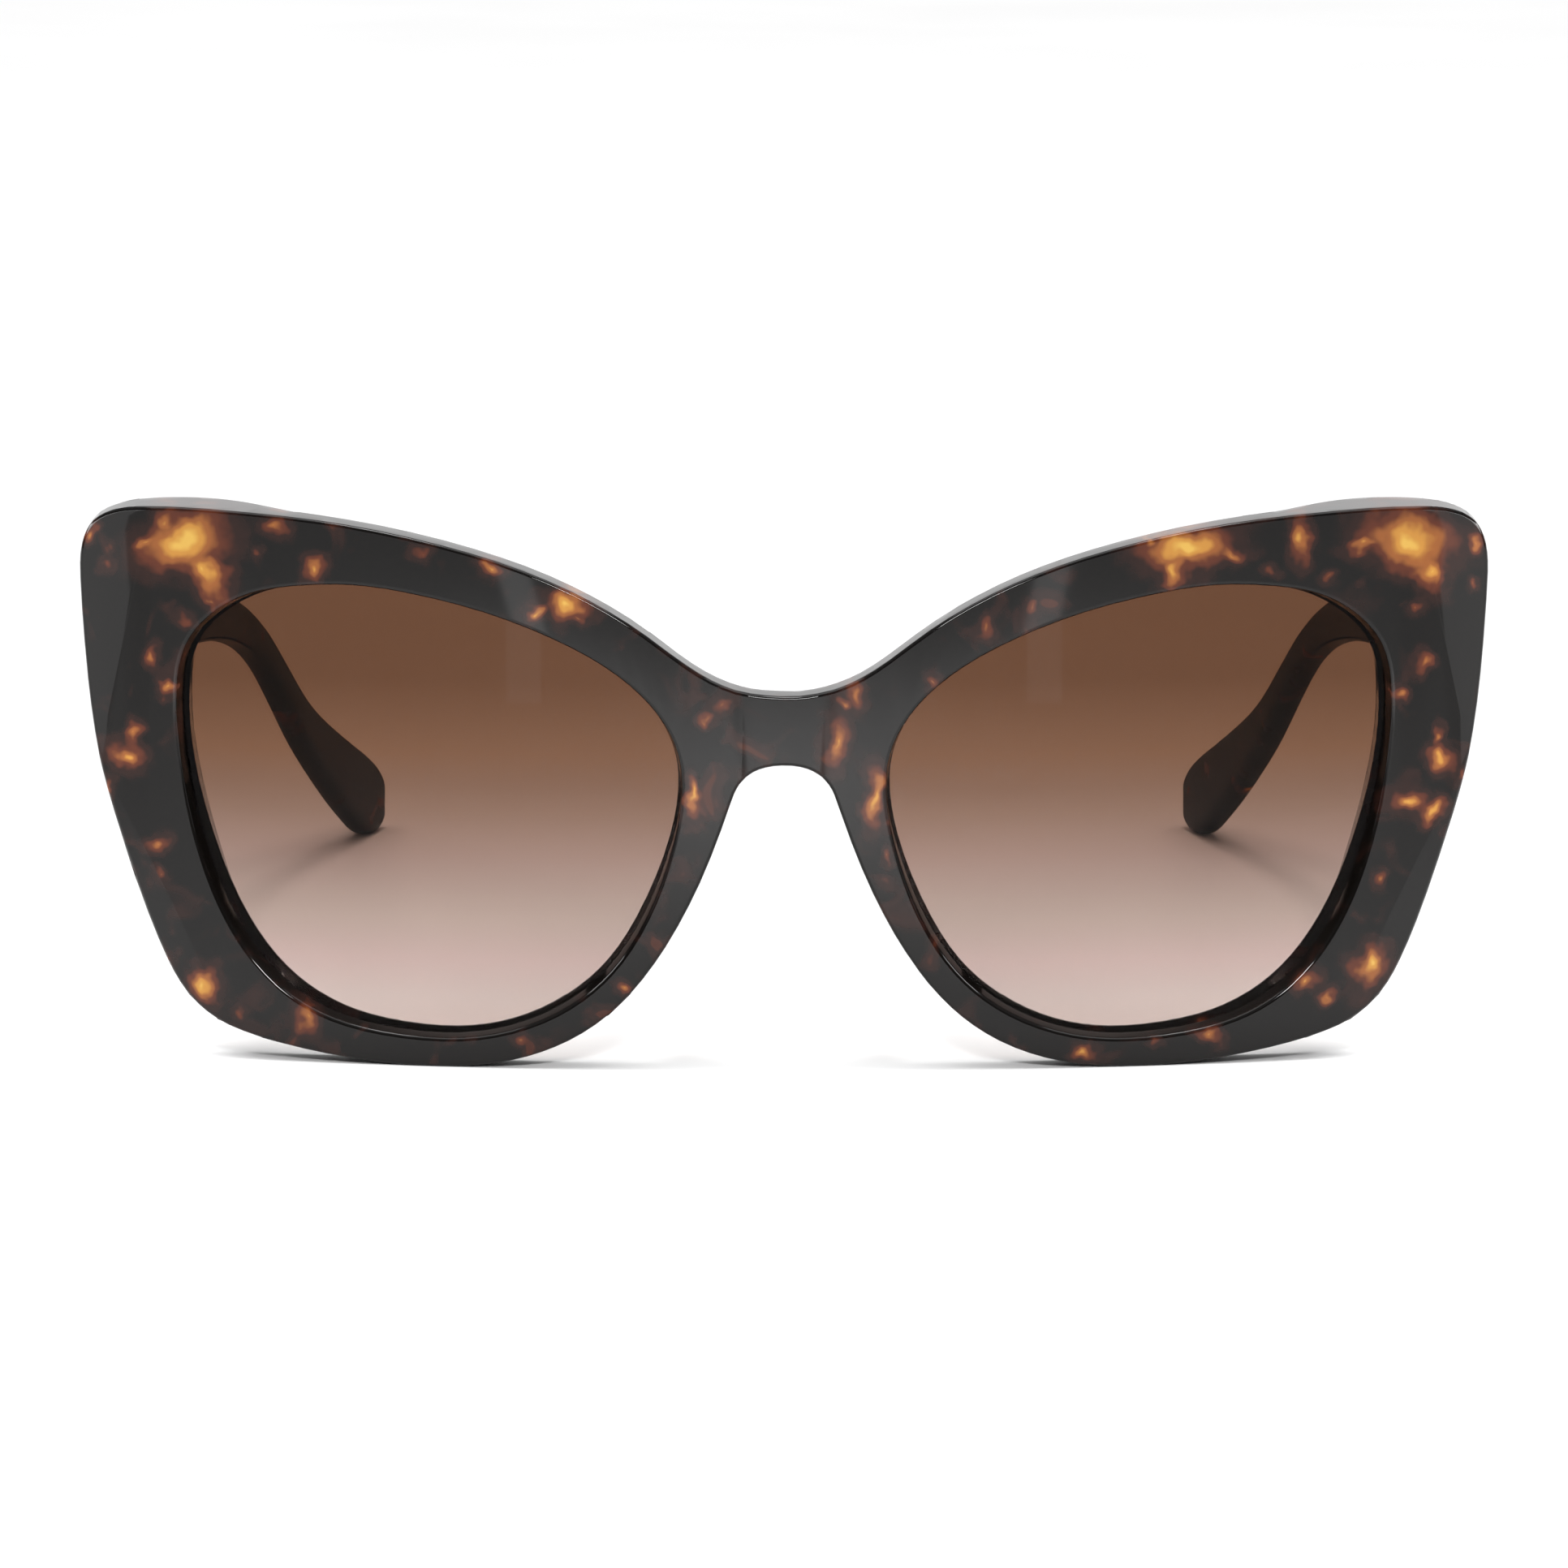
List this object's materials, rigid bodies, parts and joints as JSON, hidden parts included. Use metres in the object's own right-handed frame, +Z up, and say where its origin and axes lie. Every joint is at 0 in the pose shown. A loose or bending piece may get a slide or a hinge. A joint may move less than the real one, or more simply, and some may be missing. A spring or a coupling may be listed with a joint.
{
  "type": "cat eye sunglasses",
  "caption": "Cat eye sunglasses: dark tortoiseshell front with upswept corners, gradient brown sun lenses, and flat arms that fold inwards on barrel hinges.",
  "frame": {"origin": "centre of the footprint of the open glasses, on the surface that the rims and the arm tips rest on", "axes": "X across the face with the left side at -X as seen from the front, Y from the front towards the arm tips, Z up; the front looks along -Y"},
  "size_m": [0.1476, 0.144, 0.0584],
  "materials": {
    "frame_acetate": "polished tortoiseshell acetate",
    "lens": "gradient brown, clearer towards the bottom",
    "hinge_metal": "tumbled nickel silver",
    "screw_metal": "bright steel",
    "core_metal": "plain nickel silver strip",
    "lock_nylon": "natural nylon"
  },
  "bodies": {
    "front": {"front_frame": "frame_acetate", "nose_pad_left": "frame_acetate", "nose_pad_right": "frame_acetate", "lens_left": "lens", "lens_right": "lens", "front_hinge_leaf_left": "hinge_metal", "front_hinge_leaf_right": "hinge_metal", "hinge_screw_left": "screw_metal", "hinge_screw_right": "screw_metal", "screw_lock_left": "lock_nylon", "screw_lock_right": "lock_nylon"},
    "left_temple": {"temple_left": "frame_acetate", "temple_core_left": "core_metal", "temple_hinge_leaf_left": "hinge_metal"},
    "right_temple": {"temple_right": "frame_acetate", "temple_core_right": "core_metal", "temple_hinge_leaf_right": "hinge_metal"}
  },
  "joints": [
    {"name": "left_temple_fold", "type": "hinge", "parent": "front", "child": "left_temple", "pos_m": [-0.0663, -0.0543, 0.0423], "axis": [0, 0, -1], "range_deg": [0, 84]},
    {"name": "right_temple_fold", "type": "hinge", "parent": "front", "child": "right_temple", "pos_m": [0.0663, -0.0543, 0.0423], "axis": [0, 0, 1], "range_deg": [0, 76]}
  ]
}
